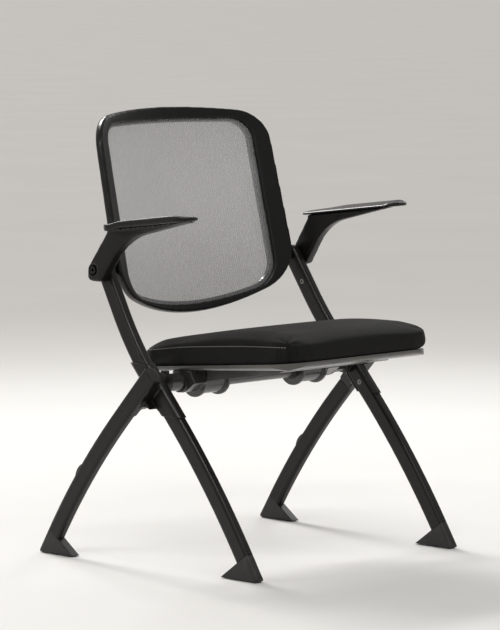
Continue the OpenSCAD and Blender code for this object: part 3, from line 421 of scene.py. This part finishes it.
def put(name, mesh, finish, body, slot, *nodes):
    """Adds a piece to the scene, on its body and in place of these nodes. The slot is not used.
    """
    piece = bpy.data.objects.new(name, mesh)
    scene.collection.objects.link(piece)
    mesh.materials.clear()
    mesh.materials.append(finish)
    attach(piece, body)
    if nodes:
        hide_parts(*nodes)
    return piece


SAME_PLACE = 0.00001


def merged_copy(node):
    """The node's own shape as one closed mesh."""
    shape = bmesh.new()
    shape.from_mesh(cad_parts[node].data)
    bmesh.ops.remove_doubles(shape, verts=shape.verts, dist=SAME_PLACE)
    return shape


def to_mesh(shape, name):
    mesh = bpy.data.meshes.new(name)
    for face in shape.faces:
        face.smooth = True
    shape.to_mesh(mesh)
    shape.free()
    return mesh


def mesh_now(holder):
    """The object's mesh with its modifiers or its curve's bevel worked out."""
    ready = holder.evaluated_get(bpy.context.evaluated_depsgraph_get())
    return bpy.data.meshes.new_from_object(ready)


def settled(mesh, *steps):
    """The mesh after these modifiers, each a kind and its settings."""
    holder = bpy.data.objects.new("holder", mesh)
    scene.collection.objects.link(holder)
    for kind, settings in steps:
        step = holder.modifiers.new(kind.lower(), kind)
        for key, value in settings.items():
            setattr(step, key, value)
    result = mesh_now(holder)
    bpy.data.objects.remove(holder)
    return result


def fine_grid(size):
    return "REMESH", {"mode": "VOXEL", "voxel_size": size, "use_smooth_shade": True}


def smoothing(rounds):
    return "SMOOTH", {"factor": 0.5, "iterations": rounds}


def fewer_faces(share):
    return "DECIMATE", {"ratio": share}


SUBDIVIDED = ("SUBSURF", {"levels": 1, "render_levels": 1})


def eased(node, body, slot, finish, grid, rounds, keep=None):
    """A cast or moulded piece with its edges eased."""
    steps = [fine_grid(grid), smoothing(rounds)]
    if keep:
        steps.append(fewer_faces(keep))
    mesh = settled(to_mesh(merged_copy(node), node), *steps)
    mesh.shade_smooth()
    put(node + "_form", mesh, finish, body, slot, node)


def dress(node, finish):
    """Gives a node of the frame its finish and leaves its shape alone."""
    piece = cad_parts[node]
    for place in piece.material_slots:
        place.material = finish
    if not piece.material_slots:
        piece.data.materials.append(finish)


# Tubes, castings, feet, fittings and the back frame

for tube in ("upright_", "front_leg_", "rear_leg_"):
    for side in SIDES:
        dress(tube + side, POWDER)
for node, finish in (
        ("cross_tube", SADDLE), ("hub_screws", STEEL), ("head_screws", STEEL),
        ("arm_pad_screws", STEEL), ("pivot_bolts", BOLT), ("foot_glides", GLIDE),
        ("hinge_bushes", BUSH), ("pivot_bushes", BUSH), ("seat_board", BOARD),
        ("mesh_carrier", CARRIER), ("seat_shell", SHELL_PLASTIC_PAINTED_REFLECTION)):
    dress(node, finish)

for side in SIDES:
    eased("hub_casting_" + side, "frame", "cast_alloy", CASTING, grid=0.0012, rounds=8)
    eased("pivot_head_" + side, "frame", "cast_alloy", CASTING, grid=0.0010, rounds=5, keep=0.6)
    for foot in ("front_foot_", "rear_foot_"):
        eased(foot + side, "frame", "foot_plastic", FOOT_PLASTIC,
              grid=0.0010, rounds=14, keep=0.6)
    eased("hinge_saddle_" + side, "seat", "cast_alloy", SADDLE, grid=0.0010, rounds=5, keep=0.6)
eased("nesting_bumpers", "frame", "foot_plastic", FOOT_PLASTIC, grid=0.0008, rounds=6, keep=0.6)
eased("stop_blocks", "frame", "foot_plastic", FOOT_PLASTIC, grid=0.0010, rounds=5, keep=0.6)
eased("back_frame", "backrest", "back_plastic", PLASTIC, grid=0.0016, rounds=90)


# Arms

PAD_THICKNESS = 0.010
PAD_TOP_BLEND = 0.007     # height over which the bottom's shape gives way to the top's
PAD_TIP = 0.0045          # rise of the outer edge, and fall of the inner one
PAD_SINK = 0.0012
PAD_CROWN = 0.0016
PAD_NOSE = 0.034          # length of the nose
PAD_NOSE_TAPER = 0.38
PAD_NOSE_EDGE = 0.003
PAD_REAR = 0.09           # length over which the rear is swept
PAD_REAR_SWEEP = 0.037    # how far the outer rear corner moves forward
PAD_REAR_CURVE = 1.6
PAD_GRID = 0.0012


def arm_pad(side):
    """The pad: high outer edge, thin inner edge, a swept rear corner and a pointed nose."""
    sign = 1.0 if side == "left" else -1.0
    node = "arm_pad_" + side
    mesh = settled(to_mesh(merged_copy(node), node), fine_grid(PAD_GRID), smoothing(34))
    low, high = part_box(node)
    middle = (low[0] + high[0]) / 2
    half = (high[0] - low[0]) / 2
    slope = (high[2] - low[2] - PAD_THICKNESS) / (high[1] - low[1])
    for vertex in mesh.vertices:
        place = vertex.co
        bottom = low[2] + slope * (high[1] - place.y)
        out = limited(sign * (place.x - middle) / half, -1.0, 1.0)
        upper = ramp(place.z, bottom, bottom + PAD_TOP_BLEND)
        nose = ramp(low[1] + PAD_NOSE - place.y, 0.0, PAD_NOSE)
        rise = PAD_TIP * out - PAD_SINK + PAD_CROWN * (1.0 - out * out)
        place.z += upper * rise * (1.0 - nose)
        place.z -= PAD_NOSE_TAPER * nose * max(0.0, place.z - bottom - PAD_NOSE_EDGE)
        rear = ramp(place.y, high[1] - PAD_REAR, high[1])
        place.y -= PAD_REAR_SWEEP * ((out + 1.0) / 2.0) ** PAD_REAR_CURVE * rear
    mesh = settled(mesh, smoothing(6))
    mesh.shade_smooth()
    put(node + "_form", mesh, ARM_PLASTIC, "frame", "arm_plastic", node)


for side in SIDES:
    eased("arm_support_" + side, "frame", "cast_alloy", ARM_PLASTIC, grid=0.0016, rounds=60)
    arm_pad(side)


# Back mesh

def back_mesh():
    """The stretched mesh, with its threads laid along the curved panel."""
    shape = merged_copy("back_mesh")
    lay = shape.loops.layers.uv.new("threads")
    upright = Matrix.Rotation(BACK_LEAN, 4, "X")
    foot = Vector((0.0, PIVOT.y + BACK_BEHIND, PIVOT.z))
    for face in shape.faces:
        for corner in face.loops:
            here = upright @ (corner.vert.co - foot)
            turn = math.asin(limited(here.x / (BACK_RADIUS + MESH_SET_BACK), -1.0, 1.0))
            corner[lay].uv = (turn * BACK_RADIUS, here.z)
    piece = put("back_mesh_cloth", to_mesh(shape, "back_mesh_cloth"), OPEN_MESH,
                "backrest", "back_fabric", "back_mesh")


back_mesh()


# Cushion: swollen as cloth, then drawn to its finished top and front

CLOTH_FRAMES = 20
CLOTH_GRID = 0.005
CLOTH_HELD_TO = 0.004     # below this height the cloth is fixed to the board
SWELL_MOST = 0.007
SWELL_ROOM = (0.988, 0.988, 0.985)
CLOTH_SETTINGS = {
    "quality": 6,
    "mass": 0.3,
    "tension_stiffness": 25.0,
    "compression_stiffness": 25.0,
    "bending_stiffness": 2.0,
    "vertex_group_mass": "held",
    "use_pressure": True,
    "uniform_pressure_force": 4.0,
}

SEAM_HEIGHT = 0.038
SEAM_REAR_DROP = 0.008
SEAM_FRONT_DROP = 0.010
SEAM_SPREAD = 1.5
SEAM_CREST = -0.2 * SEAT_FRONT

TOP_EDGE = 0.0396
TOP_SLOPE = 0.0013
TOP_FALL = 0.015
TOP_HALF = 0.21
SHOULDER_RISE = 0.0212
SHOULDER_WIDTH = 0.0553
SHOULDER_CURVE = 1.8
DISH_STEP = 0.0030
DISH_AT = 0.06
DISH_LENGTH = 0.05

FRONT_BULGE = 0.0130
FRONT_SPREAD = 0.0065
FRONT_DROP = 0.006
FRONT_HEIGHT = 0.050
TOP_DRAWN = 0.92
# Where each effect fades in: forward of the hub, out from the middle, in from the
# outline, and up from the board
ROLL_FADE = (0.19, 0.27)
DROP_FADE = (0.225, 0.285)
FLANK_FADE = (0.13, SEAT_HALF)
OUTLINE_FADE = (0.001, 0.014)
TOP_FADE = (0.016, 0.024)


def swollen_cushion():
    """The cushion's solid, a little smaller, blown up as cloth that the board holds."""
    shape = merged_copy("seat_cushion")
    about = Matrix.Translation(-(TO_SEAT @ Vector((0.0, SEAT_MIDDLE, 0.0))))
    bmesh.ops.scale(shape, vec=SWELL_ROOM, space=about, verts=shape.verts)
    mesh = settled(to_mesh(shape, "cushion"), fine_grid(CLOTH_GRID))
    pad = bpy.data.objects.new("cushion", mesh)
    scene.collection.objects.link(pad)
    start = [v.co.copy() for v in mesh.vertices]
    fixed = [v.index for v in mesh.vertices if (FROM_SEAT @ v.co).z < CLOTH_HELD_TO]
    pad.vertex_groups.new(name="held").add(fixed, 1.0, "REPLACE")
    cloth = pad.modifiers.new("cloth", "CLOTH")
    for key, value in CLOTH_SETTINGS.items():
        setattr(cloth.settings, key, value)
    cloth.settings.effector_weights.gravity = 0.0
    cloth.collision_settings.use_collision = False
    scene.frame_start = 1
    scene.frame_end = CLOTH_FRAMES
    for step in range(1, CLOTH_FRAMES + 1):
        scene.frame_set(step)
    puffed = mesh_now(pad)
    for vertex, first in zip(puffed.vertices, start):
        move = vertex.co - first
        if move.length > SWELL_MOST:
            vertex.co = first + move * (SWELL_MOST / move.length)
    bpy.data.objects.remove(pad)
    scene.frame_set(1)
    return settled(puffed, smoothing(5), SUBDIVIDED)


def seam_height(x, y):
    """Height of the side seam over the board, lower to the rear and to the front."""
    rear = max(0.0, (y - SEAM_CREST) / (SEAT_REAR - SEAM_CREST))
    front = max(0.0, (SEAM_CREST - y) / (SEAT_FRONT + SEAM_CREST))
    spread = SEAM_SPREAD - (x / SEAT_HALF) ** 2
    return SEAM_HEIGHT - SEAM_REAR_DROP * rear ** 2 - SEAM_FRONT_DROP * spread * front ** 2


def inward(x, y):
    """Distance in from the cushion's plan outline."""
    across = abs(x) - (SEAT_HALF - SEAT_CORNER)
    along = abs(y - SEAT_MIDDLE) - (SEAT_HALF_DEPTH - SEAT_CORNER)
    corner = math.hypot(max(across, 0.0), max(along, 0.0))
    return SEAT_CORNER - corner - min(max(across, along), 0.0)


def top_height(x, y):
    """Height of the finished top over the board: full shoulders, then a nearly flat middle."""
    share = (y - SEAT_MIDDLE) / TOP_HALF
    edge = TOP_EDGE - TOP_SLOPE * share - TOP_FALL * share * share
    shoulder = 1.0 - (1.0 - limited(inward(x, y) / SHOULDER_WIDTH)) ** SHOULDER_CURVE
    dish = DISH_STEP * math.tanh(-(y + DISH_AT) / DISH_LENGTH)
    return edge + SHOULDER_RISE * shoulder + dish


def rolled_front(mesh):
    """Fills the shoulders and rolls the front edge to a nose."""
    for vertex in mesh.vertices:
        x, y, z = FROM_SEAT @ vertex.co
        nose = ramp(-y, *ROLL_FADE)
        flank = ramp(abs(x), *FLANK_FADE)
        belly = math.sin(math.pi * limited(z / FRONT_HEIGHT))
        drawn = TOP_DRAWN * ramp(inward(x, y), *OUTLINE_FADE) * ramp(z, *TOP_FADE)
        z += drawn * (top_height(x, y) - FRONT_DROP * ramp(-y, *DROP_FADE) - z)
        y -= FRONT_BULGE * nose * belly
        x += math.copysign(FRONT_SPREAD * nose * flank * belly, x)
        vertex.co = TO_SEAT @ Vector((x, y, z))
    return settled(mesh, smoothing(4))


# Seams and stitches

OUTLINE_POWER = 0.22      # a squarish curve, for even steps along a rounded rectangle
SEAM_START = math.radians(-47.0)
SEAM_END = math.radians(227.0)
SEAM_TURNS = 720
CORNER_ROWS = 24
CORNER_FOOT = 0.004
CORNER_TRIM = 0.002       # how much shorter the upright seam is than the side seam is high
SEAM_STEP = 0.002
STITCH_STEP = 0.0054
STITCHES_BELOW = Vector((0.0, 0.0, 0.003))
SEARCH = (1.3, 0.5)       # the cloth is looked for between these shares of the outline
FOLD_START = 0.25         # share of a fold's reach over which it rises
FOLD_LEAN = 0.3
THREAD_OUT = 0.2          # how far threads and stitches stand out, in radii
STITCH_OUT = 0.4


def seam_places(tree, turns, height):
    """Points round the cushion's side at a height over the board, with their normals."""
    places = []
    for turn in turns:
        c, s = math.cos(turn), math.sin(turn)
        x = math.copysign(abs(c) ** OUTLINE_POWER, c) * SEAT_HALF
        y = SEAT_MIDDLE + math.copysign(abs(s) ** OUTLINE_POWER, s) * SEAT_HALF_DEPTH
        high = height(x, y)
        start, goal = (
            TO_SEAT @ Vector((x * reach, SEAT_MIDDLE + (y - SEAT_MIDDLE) * reach, high))
            for reach in SEARCH)
        hit, normal, _, _ = tree.ray_cast(start, (goal - start).normalized())
        if hit:
            places.append((hit, normal))
    return places


def evenly(places, gap):
    """The same open path in even steps."""
    result = []
    carry = 0.0
    for (a, na), (b, nb) in zip(places, places[1:]):
        length = (b - a).length
        while carry < length:
            share = carry / length
            result.append((a.lerp(b, share), na.lerp(nb, share).normalized()))
            carry += gap
        carry -= length
    return result


def press_in(mesh, path, width, depth):
    """Draws the cloth in along a seam."""
    near = KDTree(len(path))
    for k, (point, _) in enumerate(path):
        near.insert(point, k)
    near.balance()
    for vertex in mesh.vertices:
        _, _, gap = near.find(vertex.co)
        if gap < width:
            vertex.co -= vertex.normal * depth * (0.5 + 0.5 * math.cos(math.pi * gap / width))


def pucker(mesh, point, reach, depth, folds):
    """Small folds that fan out from the end of a seam."""
    flat = FROM_SEAT @ point
    for vertex in mesh.vertices:
        gap = (vertex.co - point).length
        if gap < reach:
            here = FROM_SEAT @ vertex.co - flat
            fan = math.cos(folds * math.atan2(here.y, here.x + FOLD_LEAN * here.z))
            fade = min(1.0, gap / (FOLD_START * reach))
            vertex.co += vertex.normal * depth * fan * (1.0 - gap / reach) * fade


def sewn(name, mesh, finish):
    put(name, mesh, finish, "seat", "seat_fabric")


def thread_line(name, path, radius, finish):
    """A round thread that follows an open path."""
    curve = bpy.data.curves.new(name, "CURVE")
    curve.dimensions = "3D"
    curve.bevel_depth = radius
    curve.bevel_resolution = 1
    curve.use_fill_caps = True
    line = curve.splines.new("POLY")
    line.points.add(len(path) - 1)
    for spot, (point, normal) in zip(line.points, path):
        spot.co = (*(point + normal * radius * THREAD_OUT), 1.0)
    holder = bpy.data.objects.new(name, curve)
    scene.collection.objects.link(holder)
    mesh = mesh_now(holder)
    bpy.data.objects.remove(holder)
    mesh.shade_smooth()
    sewn(name, mesh, finish)


def stitches(name, path, length, radius, finish):
    """Separate short stitches along a path."""
    shape = bmesh.new()
    size = Matrix.Diagonal((length / 2, radius, radius, 1.0))
    for (before, _), (point, normal), (after, _) in zip(path, path[1:], path[2:]):
        ahead = (after - before).normalized()
        side = normal.cross(ahead).normalized()
        turn = Matrix((ahead, side, normal)).transposed().to_4x4()
        place = Matrix.Translation(point + normal * radius * STITCH_OUT)
        bmesh.ops.create_uvsphere(shape, u_segments=6, v_segments=4, radius=1.0,
                                  matrix=place @ turn @ size)
    sewn(name, to_mesh(shape, name), finish)


def surface_of(mesh):
    shape = bmesh.new()
    shape.from_mesh(mesh)
    tree = BVHTree.FromBMesh(shape)
    shape.free()
    return tree


def on_surface(tree, path):
    """The path's points moved to the nearest places on the cloth."""
    found = [tree.find_nearest(point) for point, _ in path]
    return [(hit, normal) for hit, normal, _, _ in found]


def corner_rise(tree, turn):
    """Points up the cushion's side at one corner, from the board to the side seam."""
    path = []
    for row in range(CORNER_ROWS + 1):
        rise = row / CORNER_ROWS
        path += seam_places(
            tree, [turn], lambda x, y: CORNER_FOOT + rise * (seam_height(x, y) - CORNER_TRIM))
    return path


def cushion():
    mesh = rolled_front(swollen_cushion())
    mesh.shade_smooth()

    # The top rolls over the front, so the side seam ends in an upright seam at each corner
    bare = surface_of(mesh)
    span = SEAM_END - SEAM_START
    turns = [SEAM_START + span * k / SEAM_TURNS for k in range(SEAM_TURNS + 1)]
    seam = evenly(seam_places(bare, turns, seam_height), SEAM_STEP)
    corners = [corner_rise(bare, turn) for turn in (SEAM_START, SEAM_END)]
    press_in(mesh, seam, width=0.005, depth=0.0007)
    for corner in corners:
        press_in(mesh, evenly(corner, 0.001), width=0.007, depth=0.0024)
        pucker(mesh, corner[-1][0], reach=0.040, depth=0.0018, folds=7)
    piece = put("seat_cushion_cover", mesh, UPHOLSTERY, "seat", "seat_fabric", "seat_cushion")

    pressed = surface_of(mesh)
    for side, corner in zip(SIDES, corners):
        thread_line("corner_seam_" + side, on_surface(pressed, evenly(corner, SEAM_STEP)),
                    radius=0.0007, finish=UPHOLSTERY)
    down = TO_SEAT.to_3x3() @ STITCHES_BELOW
    lower = [(point - down, normal) for point, normal in seam]
    stitches("seam_stitches", on_surface(pressed, evenly(lower, STITCH_STEP)),
             length=0.0036, radius=0.0006, finish=THREAD)


cushion()


# Floor and light

LOOKED_AT = Vector((0.0, 0.0, 0.45))
FLOOR_HALF = 150.0


def lamp_at(name, lamp, place):
    holder = bpy.data.objects.new(name, lamp)
    holder.location = place
    holder.rotation_euler = (LOOKED_AT - Vector(place)).to_track_quat("-Z", "Y").to_euler()
    scene.collection.objects.link(holder)


def floor():
    finish, tree, shader = new_finish("studio_floor")
    cloud = noise_node(tree, place_node(tree), scale=1.3, detail=5.0, rough=0.6)
    tone = blend_colour(tree, "MIX", cloud, (0.66, 0.655, 0.64, 1.0), (0.74, 0.735, 0.72, 1.0))
    tree.links.new(tone, shader.inputs["Base Color"])
    set_shader(shader, {"Roughness": 0.75})
    shape = bmesh.new()
    bmesh.ops.create_grid(shape, x_segments=1, y_segments=1, size=FLOOR_HALF)
    ground = bpy.data.objects.new("floor", to_mesh(shape, "floor"))
    ground.data.materials.append(finish)
    scene.collection.objects.link(ground)


def light():
    scene.world = bpy.data.worlds.new("studio")
    scene.world.use_nodes = True
    background = scene.world.node_tree.nodes["Background"]
    background.inputs["Color"].default_value = (0.80, 0.79, 0.77, 1.0)
    background.inputs["Strength"].default_value = 0.55

    sun = bpy.data.lights.new("window_sun", "SUN")
    sun.energy = 1.6
    sun.angle = math.radians(14.0)
    sun.color = (1.0, 0.96, 0.91)
    lamp_at("window_sun", sun, (0.6, 3.0, 2.7))
    for name, place, wide, high, power in (
            ("front_light", (-3.4, -3.4, 2.4), 1.6, 1.6, 12.0),
            ("side_light", (-2.8, 1.8, 1.6), 0.7, 0.7, 14.0),
            ("rim_light", (0.9, 2.4, 2.6), 1.2, 0.2, 46.0),
            ("top_light", (-1.2, -1.5, 2.9), 2.2, 0.16, 30.0),
            ("far_light", (2.6, 1.0, 1.8), 0.8, 0.8, 16.0)):
        lamp = bpy.data.lights.new(name, "AREA")
        lamp.shape = "RECTANGLE"
        lamp.size = wide
        lamp.size_y = high
        lamp.energy = power
        lamp_at(name, lamp, place)


floor()
light()
scene.view_settings.view_transform = "Standard"
